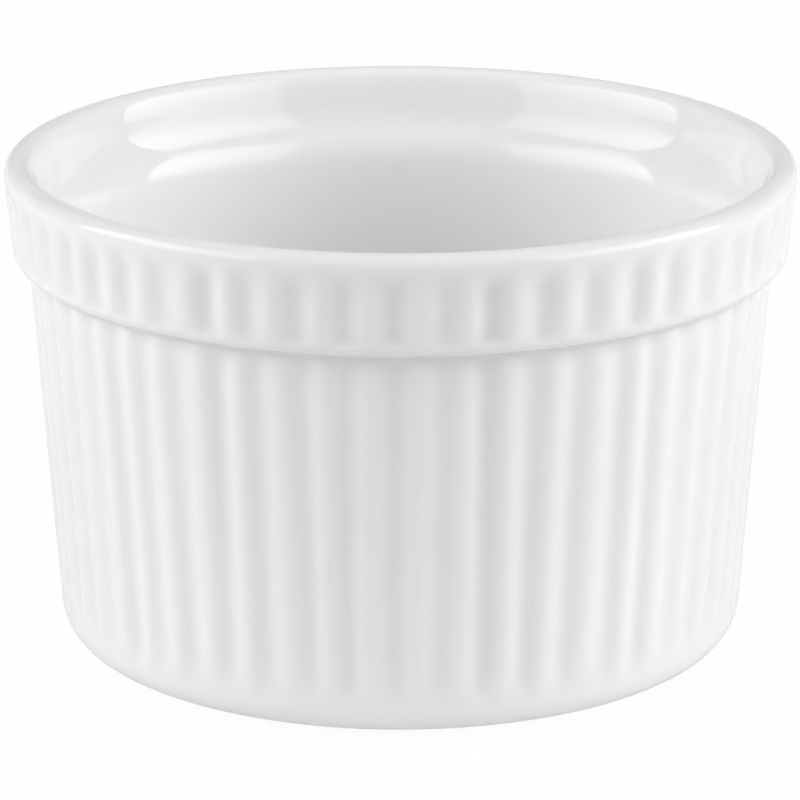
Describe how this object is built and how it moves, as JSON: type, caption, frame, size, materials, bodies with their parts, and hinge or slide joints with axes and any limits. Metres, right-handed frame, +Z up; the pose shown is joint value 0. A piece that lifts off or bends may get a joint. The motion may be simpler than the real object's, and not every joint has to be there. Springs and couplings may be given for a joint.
{
  "type": "creme brulee dish",
  "caption": "Deep round porcelain creme brulee dish with a fluted wall, a fluted overhanging collar, a plain rounded lip and a ledge inside the mouth.",
  "frame": {"origin": "on the table plane, under the middle of the dish", "axes": "+Z up along the axis of the dish, -Y towards the viewer of the picture"},
  "size_m": [0.089, 0.089, 0.0554],
  "materials": {
    "porcelain": "bare fired porcelain, matte",
    "glaze": "clear gloss glaze over white porcelain"
  },
  "bodies": {
    "root": {"porcelain_body": "porcelain", "glaze_coat": "glaze", "underside_glaze": "glaze"}
  },
  "joints": []
}
